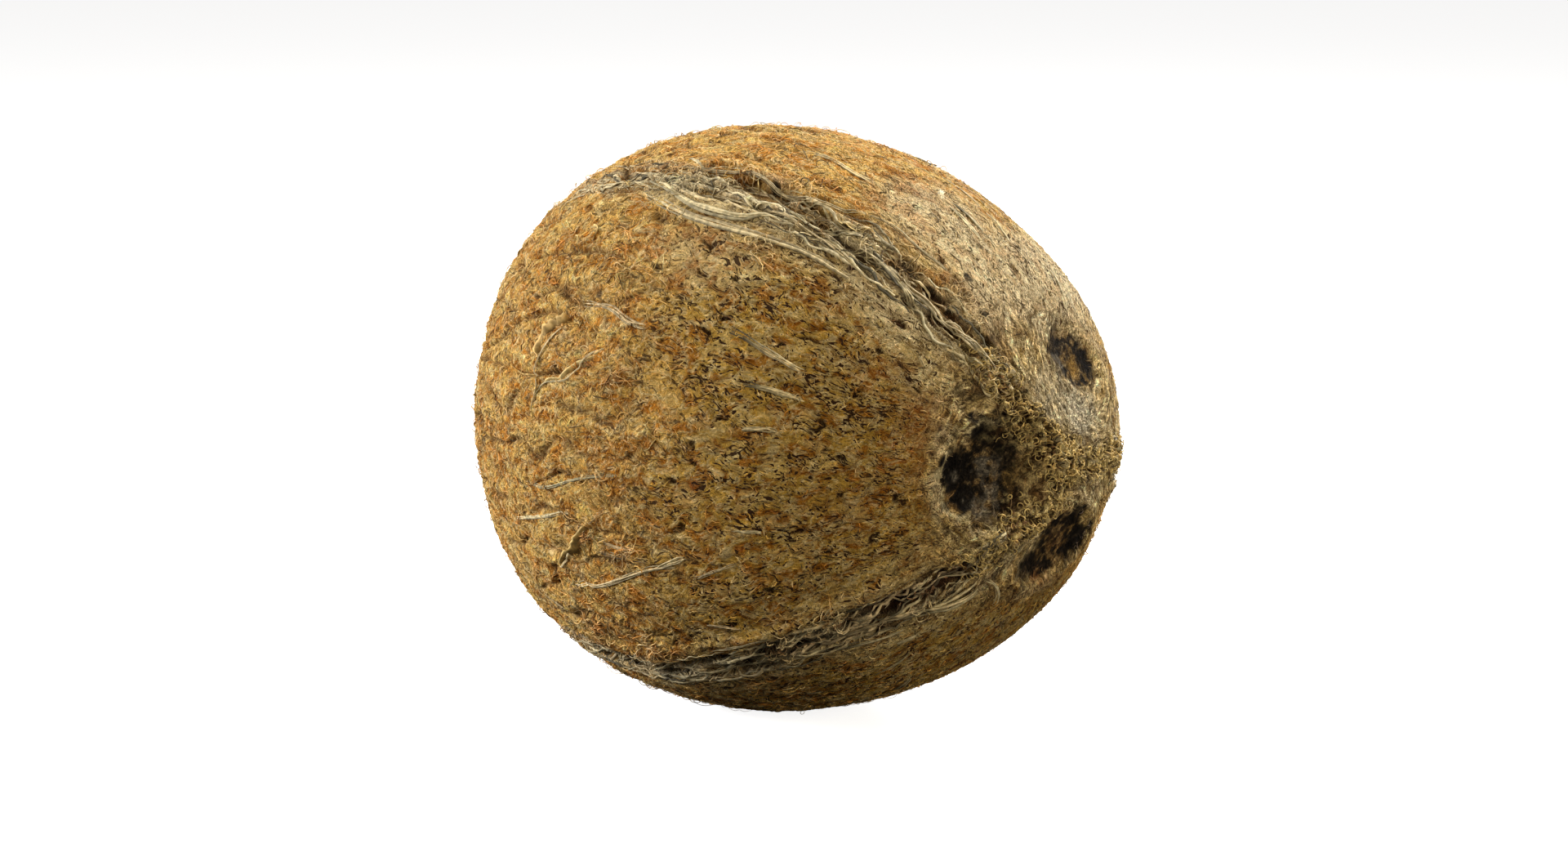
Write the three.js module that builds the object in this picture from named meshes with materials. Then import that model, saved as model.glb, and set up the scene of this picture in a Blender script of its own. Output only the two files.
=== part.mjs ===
// A husked brown coconut, lying on its side as it comes to rest on a table.
//
// It grew as one piece, so it is one closed solid: an egg with three sutures running along it from end to
// end, a cross-section that swells at each suture into a blunt triangle, and at the eye end, between the
// sutures, the three hollows that hold the germination pores. Underneath is the small flat that it rests on.
//
// Frame: +X along the nut towards the eye end, +Z up, and the origin on the table, below the middle of the
// nut. A place on the nut is a latitude, from -90 at the blunt end to 90 at the eye end, and a roll about
// the long axis, from 0 at the top through 90 at the front (-Y) to 180 underneath.
import * as THREE from "three";

const { degToRad, smoothstep } = THREE.MathUtils;

// Driving dimensions, in millimetres unless a comment says otherwise.
const LENGTH = 127.4; // blunt end to eye end
const WIDTH = 105; // across the middle, between the sutures
const TAPER = 0.07; // share of the width lost at the eye end and gained at the blunt end
const REST_DEPTH = 1.3; // how far the flat underneath cuts into the round of the nut

const SUTURE_ROLLS = [32, 137, 260]; // degrees
const SWELL = 0.055; // share by which the nut is wider at a suture than between two
const SWELL_SPREAD = 42; // degrees of roll from a suture to where its swelling has mostly gone
const RIDGE_HEIGHT = 0.9;
const RIDGE_HALF_WIDTH = 4;
const RIDGE_RISES = [-40, 60]; // latitudes between which a ridge rises as it nears the eye end

// The hollows: where each one is, how far it reaches from its middle in degrees of arc, and its depth.
const EYES = [
  { latitude: 70.5, roll: 94, reach: 12.5, depth: 3.0 },
  { latitude: 71, roll: -23, reach: 10.5, depth: 2.6 },
  { latitude: 71, roll: 186, reach: 11, depth: 2.8 },
];
const EYE_WALL = 3; // the power that gives a hollow its flat floor and its quick rise to the rim

const LUMP_HEIGHT = 0.3; // the slow unevenness that a grown thing has all over
const LUMP_WAVES = [
  { across: new THREE.Vector3(4.1, 2.3, 0), start: 0 },
  { across: new THREE.Vector3(0, 3.7, -2.9), start: 1 },
  { across: new THREE.Vector3(1.9, 0, 4.6), start: 2 },
]; // the way each wave runs, its length there in radians from the middle to the skin, and its start

const CELLS = 24; // squares along each edge of the cube that is blown up into the nut

/** The unit vector at a latitude and a roll. */
function directionAt(latitude, roll) {
  const [lat, turn] = [degToRad(latitude), degToRad(roll)];
  return new THREE.Vector3(
    Math.sin(lat),
    -Math.cos(lat) * Math.sin(turn),
    Math.cos(lat) * Math.cos(turn),
  );
}

/** How much wider the nut is in this direction because of the nearest sutures, as a share. */
function swellAt(direction) {
  const aroundX = Math.hypot(direction.y, direction.z);
  if (aroundX === 0) return 0;
  const spread = 1 - Math.cos(degToRad(SWELL_SPREAD));
  return SUTURE_ROLLS.reduce((total, roll) => {
    const suture = directionAt(0, roll);
    const cosine = (direction.y * suture.y + direction.z * suture.z) / aroundX;
    return total + SWELL * Math.exp((cosine - 1) / spread);
  }, 0);
}

/** Height of the ridges here: the nearest suture's, from how far to its side this direction lies. */
function ridgeAt(direction) {
  const latitude = THREE.MathUtils.radToDeg(Math.asin(direction.x));
  const risen = smoothstep(latitude, ...RIDGE_RISES);
  const heights = SUTURE_ROLLS.map((roll) => {
    const suture = directionAt(0, roll);
    const along = direction.y * suture.y + direction.z * suture.z;
    const aside = direction.y * suture.z - direction.z * suture.y;
    const away = ((along < 0 ? Math.hypot(along, aside) : aside) * WIDTH) / 2;
    return Math.exp(-((away / RIDGE_HALF_WIDTH) ** 2));
  });
  return RIDGE_HEIGHT * risen * Math.max(...heights);
}

/** Depth of the eye hollows here. */
function hollowAt(direction) {
  return EYES.reduce((total, { latitude, roll, reach, depth }) => {
    const arc = directionAt(latitude, roll).angleTo(direction) / degToRad(reach);
    return total + depth * Math.exp(-(arc ** EYE_WALL));
  }, 0);
}

/** The slow unevenness: the mean of waves that cross each other. */
function lumpAt(direction) {
  const waves = LUMP_WAVES.map(({ across, start }) => Math.sin(across.dot(direction) + start));
  return (LUMP_HEIGHT * waves.reduce((total, wave) => total + wave)) / waves.length;
}

/** The point of the nut's skin in a direction, as seen from the middle of the nut. */
function nutPoint(direction) {
  const halfWidth = (WIDTH / 2) * (1 - TAPER * direction.x) * (1 + swellAt(direction));
  const point = new THREE.Vector3(LENGTH / 2, halfWidth, halfWidth).multiply(direction);
  const outward = direction
    .clone()
    .divide(new THREE.Vector3(LENGTH, WIDTH, WIDTH))
    .normalize();
  return point.addScaledVector(outward, ridgeAt(direction) - hollowAt(direction) + lumpAt(direction));
}

/** The direction through a point of the cube of side 2, spaced evenly by angle and not by length. */
function cubeDirection(corner) {
  const evened = corner.toArray().map((c) => Math.tan((c * Math.PI) / 4));
  return new THREE.Vector3(...evened).normalize();
}

/** A cube of small squares, blown up into the nut, with its underside flattened where it rests. */
function nutGeometry() {
  const geometry = new THREE.BoxGeometry(2, 2, 2, CELLS, CELLS, CELLS);
  const places = geometry.getAttribute("position");
  const corner = new THREE.Vector3();
  for (let i = 0; i < places.count; i++) {
    const point = nutPoint(cubeDirection(corner.fromBufferAttribute(places, i)));
    places.setXYZ(i, point.x, point.y, point.z);
  }
  geometry.computeBoundingBox();
  const table = geometry.boundingBox.min.z + REST_DEPTH;
  for (let i = 0; i < places.count; i++) {
    places.setZ(i, Math.max(places.getZ(i), table));
  }
  geometry.computeVertexNormals();
  geometry.computeBoundingBox();
  return geometry;
}

const coir = new THREE.MeshStandardMaterial({ color: 0xa8783f, roughness: 0.92, metalness: 0 });
const coconut = new THREE.Mesh(nutGeometry(), coir);
coconut.name = "coconut";
const { min, max } = coconut.geometry.boundingBox;
coconut.position.set(-(min.x + max.x) / 2, -(min.y + max.y) / 2, -min.z);

const part = new THREE.Group();
part.add(coconut);

export default part;
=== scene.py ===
import bpy
import numpy as np
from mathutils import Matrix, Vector


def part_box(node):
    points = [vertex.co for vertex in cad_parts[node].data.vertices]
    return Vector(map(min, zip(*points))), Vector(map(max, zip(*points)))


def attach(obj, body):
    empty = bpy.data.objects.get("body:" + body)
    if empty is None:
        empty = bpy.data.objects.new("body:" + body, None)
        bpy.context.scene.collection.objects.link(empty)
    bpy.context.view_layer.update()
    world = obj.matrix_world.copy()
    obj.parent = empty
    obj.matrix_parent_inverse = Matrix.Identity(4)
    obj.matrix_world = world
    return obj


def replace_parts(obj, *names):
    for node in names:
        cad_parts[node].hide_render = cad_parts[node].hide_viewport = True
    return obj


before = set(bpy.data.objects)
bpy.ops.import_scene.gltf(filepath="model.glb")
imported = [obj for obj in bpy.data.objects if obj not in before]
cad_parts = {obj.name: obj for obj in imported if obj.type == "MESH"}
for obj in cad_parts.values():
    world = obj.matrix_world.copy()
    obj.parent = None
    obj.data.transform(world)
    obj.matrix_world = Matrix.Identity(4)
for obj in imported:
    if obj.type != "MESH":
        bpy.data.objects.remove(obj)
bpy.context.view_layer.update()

# The husk.
# The felt of coir that stays on a husked coconut grew as one body with the shell below it. Three sutures run
# along it and meet at the eye end, between the three hollows that hold the germination pores. The blunt end
# is furrowed where the outer husk was torn off.

MM = 0.001
LENGTH, WIDTH, TAPER = 127.4, 105.0, 0.07  # mm, mm, and the share of the width lost towards the eye end
SWELL, SWELL_SPREAD = 0.055, 42  # a suture makes the nut this share wider, over this many degrees of roll
MEAN_RADIUS = 56  # mm
RING_RADIUS = 8  # mm from an eye's middle at which the fibres round it keep their true length
REST_DEPTH = 1.3  # mm that the flat underneath is cut into the round of the nut

# Each suture as (latitude, roll) points in degrees: the first runs over the top, the second low in front.
SUTURES = [
    [(-90, 30), (0, 32), (38, 32), (50, 35), (66, 38), (84, 47), (90, 60)],
    [(-90, 140), (5, 138), (20, 136.5), (30, 135), (57, 136), (69, 140), (75, 147), (84, 180), (90, 200)],
    [(-90, 262), (55, 260), (71, 268), (83, 250), (90, 240)],
]
RIDGE_HEIGHT, RIDGE_HALF_WIDTH = 0.7, 4.0  # mm

# Each eye hollow: latitude, roll, reach along and round the nut in degrees of arc, and depth in mm. The
# second is a small pit in a wide shallow basin.
EYES = [(73.5, 95, 11.5, 10.5, 2.4), (66.5, 327, 6.4, 9.3, 1.0), (70.5, 331, 12.5, 12.5, 1.0),
        (69.5, 193, 7.5, 11.2, 1.8)]

# Broad places where the nut is less full than the egg: latitude, roll, reach along and round, depth in mm.
WORN_DOWN = [(-30, 104, 20, 22, 0.45), (88, 0, 22, 22, 0.7), (66, 54, 5.5, 5.5, 1.1), (56, 255, 12, 16, 0.4)]

rng = np.random.default_rng(7)
NOISE_SLOPES = rng.normal(size=(256, 3))
NOISE_SLOPES = (NOISE_SLOPES / np.linalg.norm(NOISE_SLOPES, axis=1, keepdims=True)).astype(np.float32)
NOISE_ORDER = rng.permutation(256)


def noise(points, seed=0):
    """Gradient noise, about -1 to 1: each corner of a unit lattice gets a slope, picked from a shuffled
    list by the corner's whole numbers, and the corners' slopes are blended by the smooth share of the way
    between them."""
    place = np.asarray(points, np.float32)
    cell = np.floor(place)
    x, y, z = np.moveaxis(place - cell, -1, 0)
    column, row, layer = np.moveaxis(cell.astype(np.int32), -1, 0)
    ease_x, ease_y, ease_z = (t**3 * (t * (t * 6 - 15) + 10) for t in (x, y, z))
    total = 0
    for i, j in np.ndindex(2, 2):
        pick = NOISE_ORDER[(NOISE_ORDER[(column + i + seed) & 255] + row + j) & 255]
        share = (ease_x if i else 1 - ease_x) * (ease_y if j else 1 - ease_y)
        for k in (0, 1):
            slope = NOISE_SLOPES[NOISE_ORDER[(pick + layer + k) & 255]]
            rise = slope[..., 0] * (x - i) + slope[..., 1] * (y - j) + slope[..., 2] * (z - k)
            total = total + share * (ease_z if k else 1 - ease_z) * rise
    return 1.6 * total


def rough(points, octaves, seed=0):
    """Noise on noise: each octave is twice as fine as the last and a little over half as high."""
    return sum(0.55**i * noise(points * 2**i, seed + 31 * i) for i in range(octaves))


def crests(points, seed=0, thin=3.2):
    """Fine crests, 0 to 1: 1 where the noise crosses zero, and falling off on both sides of those lines,
    sooner the thinner they are. They curl and close on themselves like loose fibres."""
    return 1 - np.minimum(1, thin * np.abs(noise(points, seed)))


def ease(value, start, end):
    """0 up to start, 1 from end on, and a smooth S between them."""
    share = np.clip((value - start) / (end - start), 0, 1)
    return share * share * (3 - 2 * share)


def direction(latitude, roll):
    """The unit vector at a latitude and a roll: X is the sine of the latitude, and its cosine is shared
    between -Y and +Z by the sine and cosine of the roll."""
    lat, turn = np.radians(latitude), np.radians(roll)
    return np.stack([np.sin(lat) + 0 * turn, -np.cos(lat) * np.sin(turn), np.cos(lat) * np.cos(turn)], -1)


def latitude_and_roll(aim):
    """The latitude and roll of unit vectors, in degrees: direction() turned round."""
    latitude = np.degrees(np.arcsin(np.clip(aim[..., 0], -1, 1)))
    return latitude, np.degrees(np.arctan2(-aim[..., 1], aim[..., 2])) % 360


def along_the_nut(aim):
    """Places in mm that follow the grain: the arc from the middle towards the eye end, then the cosine and
    the sine of the roll on a circle as big as the nut's waist, so that a pattern closes on itself all the
    way round."""
    latitude, roll = latitude_and_roll(aim)
    turn = np.radians(roll)
    waist = WIDTH / 2
    return np.stack([np.radians(latitude) * MEAN_RADIUS, waist * np.cos(turn), waist * np.sin(turn)], -1)


def slanted(grain, slant):
    """Places turned round the nut in step with their way along it, so that streaks drawn out along the
    first number come to lie at a slant, in degrees, to the grain."""
    turn = np.tan(np.radians(slant)) * grain[..., 0] / (WIDTH / 2)
    cosine, sine = np.cos(turn), np.sin(turn)
    return np.stack([grain[..., 0], grain[..., 1] * cosine - grain[..., 2] * sine,
                     grain[..., 1] * sine + grain[..., 2] * cosine], -1)


def from_sutures(aim):
    """For each suture, the distance round the nut from it in mm: positive towards a greater roll."""
    latitude, roll = latitude_and_roll(aim)
    turns = [(roll - np.interp(latitude, *zip(*line)) + 180) % 360 - 180 for line in SUTURES]
    return np.radians(turns) * WIDTH / 2 * np.cos(np.radians(latitude))


def beside_a_suture(aim):
    """The signed distance from the nearest suture in mm, and which suture it is."""
    offsets = from_sutures(aim)
    which = np.abs(offsets).argmin(0)
    return np.take_along_axis(offsets, which[None], 0)[0], which


def seen_from(aim, latitude, roll):
    """How far ahead along the nut and aside round it directions lie from a spot, in degrees of arc."""
    spot = direction(latitude, roll)
    lat, turn = np.radians(latitude), np.radians(roll)
    north = np.array([np.cos(lat), np.sin(lat) * np.sin(turn), -np.sin(lat) * np.cos(turn)])
    east = np.array([0, -np.cos(turn), -np.sin(turn)])
    return np.degrees(np.arctan2(aim @ north, aim @ spot)), np.degrees(np.arctan2(aim @ east, aim @ spot))


def from_spot(aim, latitude, roll, along, around):
    """How far directions are from a spot, as a share of its reach: its oval has one half axis along the nut
    and one round it, in degrees of arc."""
    ahead, aside = seen_from(aim, latitude, roll)
    return np.hypot(ahead / along, aside / around) + np.where(aim @ direction(latitude, roll) < 0, 9, 0)


def bent_grain(aim):
    """Places in mm along the grain, bent this way and that by slow noise as the fibres are."""
    grain = along_the_nut(aim)
    bend = np.stack([noise(grain / 2.9, seed) for seed in (5, 9, 13)], -1)
    return grain + bend * [1.5, 1.1, 1.1], bend


def in_rings(aim):
    """Places in mm that follow rings round the nearest eye: the distance from its middle with slow noise,
    then the cosine and sine of the way round it on a circle of RING_RADIUS."""
    ways = np.array([seen_from(aim, *eye[:2]) for eye in (EYES[0], EYES[1], EYES[3])])
    nearest = np.hypot(ways[:, 0], ways[:, 1]).argmin(0)[None, None]
    ahead, aside = np.take_along_axis(ways, nearest, 0)[0]
    away = np.radians(np.hypot(ahead, aside)) * MEAN_RADIUS + 1.3 * rough(aim * MEAN_RADIUS / 5, 2, 113)
    turn = np.arctan2(aside, ahead)
    return np.stack([away, RING_RADIUS * np.cos(turn), RING_RADIUS * np.sin(turn)], -1)


def ribbons(aim):
    """The broad strands of coir left along a suture, from 0 in the gaps between them to 1 on their crests:
    wide crests of noise drawn out along the suture."""
    grain = along_the_nut(aim)
    beside, which = beside_a_suture(aim)
    lanes = np.stack([grain[..., 0] / 17, beside / 2.5, which * 7.3 + grain[..., 0] / 60], -1)
    return 1 - np.minimum(1, 2.6 * np.abs(rough(lanes, 2, 11)))


def frizz(aim):
    """How torn the felt is, from 0 to 1: fully at the blunt end, and again in a belt along the top and in a
    patch low behind, with edges that wander by slow noise."""
    latitude, roll = latitude_and_roll(aim)
    wander = 14 * rough(along_the_nut(aim) / 18, 2, 5)
    blunt = 1 - ease(latitude + wander, -8, 26)
    top = np.exp(-((((roll - 8 + 180) % 360 - 180) / 22) ** 2)) * (1 - ease(latitude + wander, 30, 62))
    low = np.exp(-(from_spot(aim, 52, 236, 15, 18) ** 4))
    return np.clip(blunt + 0.85 * top + 0.7 * low, 0, 1)


FURROW_SPACING = 7.5  # degrees of roll, a whole number of times round the nut


def furrows(aim, torn):
    """The furrows of the blunt end, from 0 to 1: long wavering grooves a few millimetres apart that run
    with the grain, broken off here and there, and fading out towards the very end, where they would crowd
    together."""
    latitude, roll = latitude_and_roll(aim)
    grain = along_the_nut(aim)
    lines = roll / FURROW_SPACING + 0.8 * rough(grain / [17, 9, 9], 2, 41)
    groove = np.exp(-(((lines + 0.5) % 1 - 0.5) / 0.1) ** 2)
    broken = ease(rough(grain / [13, 5, 5], 1, 47), -0.5, 0.0)
    return torn * broken * groove * ease(-latitude, -22, 6) * (1 - 0.85 * ease(-latitude, 56, 74))


def suture_band(aim):
    """How far directions lie within a suture's band of strands, 0 to 1. The band is wider on its far side,
    and it narrows to the ridge between two eyes."""
    latitude, _ = latitude_and_roll(aim)
    beside, which = beside_a_suture(aim)
    grain = along_the_nut(aim)
    half = np.interp(latitude, [-60, 0, 40, 60, 75], [2.5, 4.2, 4.6, 4.0, 2.6]) * np.where(which == 0, 1, 0.8)
    edge = half * (1 + 0.45 * rough(grain / [8, 2.6, 2.6], 2, 91))
    return np.exp(-(((beside + 0.3) / edge) ** 4)) * ease(latitude, -50, -12)


def shape(aim):
    """Height in mm over the plain egg at unit vectors, without the felt's own fine relief. It adds up the
    ridges, the channel and lip of each suture with its broad strands and crevices, the eye hollows with
    ragged rims, the furrows of the blunt end, and lumps of noise."""
    latitude, roll = latitude_and_roll(aim)
    grain = along_the_nut(aim)
    place = aim * MEAN_RADIUS
    beside, which = beside_a_suture(aim)
    torn = frizz(aim)
    band = suture_band(aim)
    height = RIDGE_HEIGHT * ease(latitude, -40, 55) * (1 - 0.7 * ease(latitude, 74, 88)) * np.exp(
        -((beside / RIDGE_HALF_WIDTH) ** 2))
    lip = np.exp(-(((beside + 5.2) / 1.9) ** 2)) * ease(latitude, -20, 5) * (1 - ease(latitude, 50, 64))
    channel = band * (1 - ease(latitude, 55, 70))
    height += 0.75 * lip * (1 + 0.8 * rough(grain / [7, 3, 3], 2, 17)) - 0.45 * channel
    height += 0.8 * band * (ribbons(aim) - 0.4)
    height -= 1.1 * crevices(aim, band)
    for away, eye in zip(eye_reach(aim), EYES):
        height -= eye[4] * np.exp(-(away**5))
        height += 0.16 * eye[4] * np.exp(-(((away - 1.25) / 0.2) ** 2))
    height -= 0.85 * furrows(aim, torn)
    height += 0.22 * torn * rough(grain / [6, 4, 4], 2, 61)
    height += 0.3 * rough(place / 22, 2, 71)
    for lat, turn, along, around, depth in WORN_DOWN:
        height -= depth * np.exp(-(from_spot(aim, lat, turn, along, around) ** 2))
    return height - 0.7


def eye_reach(aim):
    """How far unit vectors are from the middle of each eye hollow, as a share of its reach, which is
    ragged."""
    ragged = 1 + 0.17 * rough(aim * MEAN_RADIUS / 4.5, 3, 23)
    return [from_spot(aim, *eye[:4]) * ragged for eye in EYES]


def crevices(aim, band):
    """Dark gaps between a suture's strands, from 0 to 1: long spots of noise drawn out along the suture."""
    grain = along_the_nut(aim)
    beside, which = beside_a_suture(aim)
    gaps = np.stack([grain[..., 0] / 6.5, beside / 1.9, which * 9.1 + grain[..., 0] / 40], -1)
    return band * ease(rough(gaps, 2, 19) + np.where(which == 1, 0.20, 0.03), 0.24, 0.42)


def egg(aim, height):
    """The point of the nut's skin in a direction, in mm from its middle: a half length along X and a half
    width that tapers and swells, plus a height along the egg's outward normal. Also that normal."""
    around = np.hypot(aim[..., 1], aim[..., 2]) + 1e-9
    spread = 1 - np.cos(np.radians(SWELL_SPREAD))
    swell = 0
    for line in SUTURES:
        seam = direction(0, line[2][1])
        swell = swell + SWELL * np.exp(((aim @ seam) / around - 1) / spread)
    half = WIDTH / 2 * (1 - TAPER * aim[..., 0]) * (1 + swell)
    point = aim * np.stack([np.full_like(half, LENGTH / 2), half, half], -1)
    outward = aim / [LENGTH, WIDTH, WIDTH]
    outward /= np.linalg.norm(outward, axis=-1, keepdims=True)
    return point + outward * height[..., None], outward


# The felt's colours, as the share of red, green and blue light that each gives back.
FOX, STRAW = np.array([0.52, 0.185, 0.014]), np.array([0.88, 0.52, 0.135])  # torn felt, low and high
UMBER, OLIVE = np.array([0.38, 0.132, 0.006]), np.array([0.61, 0.37, 0.070])  # worn felt, low and high
ASH, STONE = np.array([0.28, 0.175, 0.055]), np.array([0.74, 0.575, 0.30])  # weathered felt, low and high
# The first colour of the next pair is painted shade, for the bottom of pits and crevices and the gaps between
# crumbs.
RECESS_SHADE, SOOT = np.array([0.045, 0.020, 0.008]), np.array([0.012, 0.009, 0.007])  # the depth of a pit; mould
CREAM, PALE = np.array([0.88, 0.72, 0.40]), np.array([0.87, 0.715, 0.44])  # fibre tips; bleached strands
GOLD, HAZEL = np.array([0.76, 0.555, 0.215]), np.array([0.27, 0.14, 0.045])  # clean fibre; damp fibre
RUST, SLATE = np.array([0.36, 0.085, 0.016]), np.array([0.27, 0.235, 0.180])  # a stain; dried mould
AMBER, BARK = np.array([0.50, 0.28, 0.07]), np.array([0.16, 0.08, 0.03])  # old sap, thin and thick
CHALK = np.array([0.86, 0.78, 0.58])  # the palest dry felt
CRUMB = CREAM * [1.0, 0.96, 0.8]
# Browns from the damp fibre's colour: the first darkens the mouldy eyes and is painted shade in the blunt
# end's furrows, the second is painted shade between the rings of fibre round the eyes, the third is painted
# shade between a suture's strands, and the last is a plain brown.
EYE_BROWN_AND_FURROW_SHADE, RING_GAP_SHADE, STRAND_GAP_SHADE, LIGHT_DAMP = HAZEL * 0.8, HAZEL * 0.7, HAZEL * 0.5, HAZEL * 1.3

MOULDY = [0.93, 0.93, 0.0, 0.95]  # how black mould has turned each hollow in EYES

# Where mould and old sap have blackened the nut in spots: latitude, roll, reach along and round it,
# strength.
BLACKENED = [
    (65, 92, 4.4, 5.8, 1.0), (66.5, 106, 3.2, 3.2, 1.0), (70, 68, 4.6, 3.8, 1.0), (75, 74, 3.8, 3.4, 0.95),
    (77.5, 84, 3.0, 3.0, 0.9), (62.5, 28, 1.6, 1.2, 0.8), (57.5, 22, 1.0, 1.4, 0.8),
    (77, 96, 2.6, 3.4, 0.9), (75.5, 122, 3.0, 2.6, 0.9), (79, 118, 3.0, 3.2, 0.8), (66, 48, 3.0, 2.6, 0.7),
    (73, 55, 3.0, 2.6, 0.75), (64, 316, 3.0, 3.6, 0.95), (66, 343, 3.0, 3.2, 0.9), (66, 53, 3.4, 5.0, 0.45),
    (65.5, 215, 3.4, 4.5, 1.0), (66, 176, 3.5, 4.6, 0.9), (72.5, 214, 3.0, 4.0, 0.9),
    (70.5, 124, 2.6, 2.6, 0.7), (44, 131.5, 3.5, 1.3, 0.85), (50, 133.5, 4.0, 1.7, 0.9),
    (56.5, 135.5, 4.0, 1.8, 0.95), (61, 138.5, 3.0, 1.8, 0.85), (38, 132.5, 3.0, 0.8, 0.6),
    (49, 30.5, 2.2, 0.9, 0.9), (54, 32, 1.8, 0.8, 0.9), (61.5, 30, 2.4, 1.0, 0.8),
    (50.5, 16, 1.2, 0.8, 0.9), (5, 52.5, 0.8, 0.7, 0.9), (-4, 59.5, 0.7, 0.9, 0.9),
    (16, 28, 1.1, 0.8, 0.95), (60, 44, 2.5, 1.6, 0.5), (64, 55, 3.0, 1.6, 0.5), (59, 262, 3.0, 1.2, 0.8),
    (40, 259, 3.5, 1.0, 0.7),
]
# Rusty stains, in the same order.
RUSTED = [
    (56, 71, 4.5, 6.0, 0.55), (55, 88, 4.0, 5.0, 0.3), (19.5, 89, 1.0, 1.0, 0.9), (19.5, 94, 0.9, 1.4, 0.9),
    (47, 60, 5.0, 4.0, 0.3), (63.5, 187, 2.2, 3.0, 0.75), (67.5, 200, 2.0, 3.0, 0.5),
    (82, 150, 2.6, 4.0, 0.5), (-3, 73, 1.6, 1.6, 0.7), (26, 108, 0.8, 0.8, 0.8), (33, 50, 4.5, 3.0, 0.25),
    (44, 100, 6.0, 5.0, 0.25), (-12, 70, 6.0, 5.0, 0.25), (30, 5, 5.0, 5.0, 0.25), (20, 220, 5.0, 7.0, 0.3),
    (-20, 300, 7.0, 7.0, 0.3),
]
# Spots with a colour of their own, most of them where the mould left an eye bare: latitude, roll, reach
# along and round it, strength, colour.
BARE_SPOTS = [
    (78, 315, 5.5, 6.5, 0.6, CHALK), (71, 90, 1.3, 2.6, 0.85, SLATE), (69, 117, 2.4, 2.6, 0.7, SLATE),
    (74, 94, 1.3, 2.8, 0.9, SLATE), (72.5, 112, 1.3, 2.8, 0.85, SLATE), (77, 106, 1.5, 2.2, 0.7, ASH),
    (81, 101, 3.6, 3.0, 0.5, ASH), (83, 80, 2.6, 2.6, 0.4, ASH), (65, 95, 0.9, 1.2, 0.6, SLATE),
    (67.8, 324, 2.3, 2.4, 0.95, AMBER), (69.3, 342, 2.0, 2.6, 0.85, SLATE), (70, 196, 2.6, 3.0, 0.4, BARK),
    (52, 22, 3.5, 2.4, 0.6, HAZEL), (62, 24, 3.5, 2.6, 0.5, HAZEL), (57, 33, 3.0, 2.0, 0.6, HAZEL),
    (66, 30, 2.4, 2.6, 0.45, HAZEL), (68, 46, 4.0, 2.2, 0.5, HAZEL), (82, 128, 3.0, 2.4, 0.6, HAZEL),
    (72, 172, 2.4, 2.6, 0.8, STONE), (67.5, 166, 2.2, 2.2, 0.7, STONE),
]
# Bleached places round the eyes and beside the upper suture: latitude, roll, reach along and round it,
# strength.
PALE_SPOTS = [
    (76, 348, 7.5, 7.5, 0.9), (78, 15, 5.5, 5.5, 0.7), (62, 348, 5.5, 7.5, 0.8), (58, 15, 6.0, 6.0, 0.5),
    (76, 308, 6.5, 6.5, 0.9), (58, 322, 3.5, 9.0, 0.5), (38, 6, 12.0, 13.0, 0.9), (53, 358, 9.0, 14.0, 0.9),
    (48, 335, 10.0, 13.0, 0.85), (40, 318, 14.0, 12.0, 0.4), (57, 22, 7.0, 5.0, 0.4),
    (47, 41, 9.0, 3.5, 0.4), (13, 48, 12.0, 7.0, 0.3), (70.5, 152, 5.0, 2.8, 0.8),
    (61.5, 150, 4.0, 2.6, 0.6), (60.5, 100, 1.6, 5.5, 0.75), (61.5, 78, 2.0, 3.4, 0.7),
    (77, 235, 6.0, 5.5, 0.6), (60, 185, 1.8, 7.0, 0.5), (84, 200, 4.0, 4.0, 0.45),
]


def blend(colours, colour, share):
    """Colours moved towards one colour, each by its own share."""
    return colours + (colour - colours) * share[..., None]


def crumbled(aim):
    """Where the felt ends in crumbs, from 0 to 1: on the ridges between the eyes, at the tip where they
    meet, and just inside the first eye's rim on that side."""
    latitude, _ = latitude_and_roll(aim)
    beside, _ = beside_a_suture(aim)
    ridge = np.exp(-((beside / 3.4) ** 4)) * ease(latitude, 55, 64) + ease(latitude, 82, 87)
    inside = np.exp(-(((eye_reach(aim)[0] - 0.85) / 0.25) ** 2)) * ease(latitude, 68, 75)
    return np.clip(ridge + 0.4 * inside, 0, 1)


def grey_beside(aim, lean):
    """How weathered the felt is beside a suture, from 0 to 1: a belt that widens towards the eye end, with
    its middle leaning to one side by a share of its width."""
    latitude, _ = latitude_and_roll(aim)
    beside, _ = beside_a_suture(aim)
    wide = np.interp(latitude, [-60, 0, 30, 50, 64], [2.0, 4.5, 6.5, 9.5, 15.0])
    edge = wide * (1 + 0.3 * rough(along_the_nut(aim) / [9, 3, 3], 2, 93))
    return np.exp(-((np.abs(beside - lean * wide) / edge) ** 4)) * ease(latitude, -30, 0)


class FeltLie:
    """What the felt's patterns go by at unit vectors: the latitude, the place in mm, plain, along the
    grain, bent, in rings and swirled by noise, and how near a suture, how torn and how bare the felt is."""

    def __init__(self, aim):
        self.aim, self.place = aim, aim * MEAN_RADIUS
        self.grain, self.rings = along_the_nut(aim), in_rings(aim)
        self.latitude, _ = latitude_and_roll(aim)
        self.beside, self.which = beside_a_suture(aim)
        self.band, self.torn = suture_band(aim), frizz(aim)
        self.bare = ease(np.abs(self.latitude) + 3 * noise(self.place / 5, 3), 54, 62)
        self.bent, self.bend = bent_grain(aim)
        self.mixed = self.bent + (self.place - self.bent) * self.bare[..., None]
        self.swirl = self.place + 3.2 * np.stack([noise(self.place / 5.5, seed) for seed in (15, 17, 19)], -1)


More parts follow.
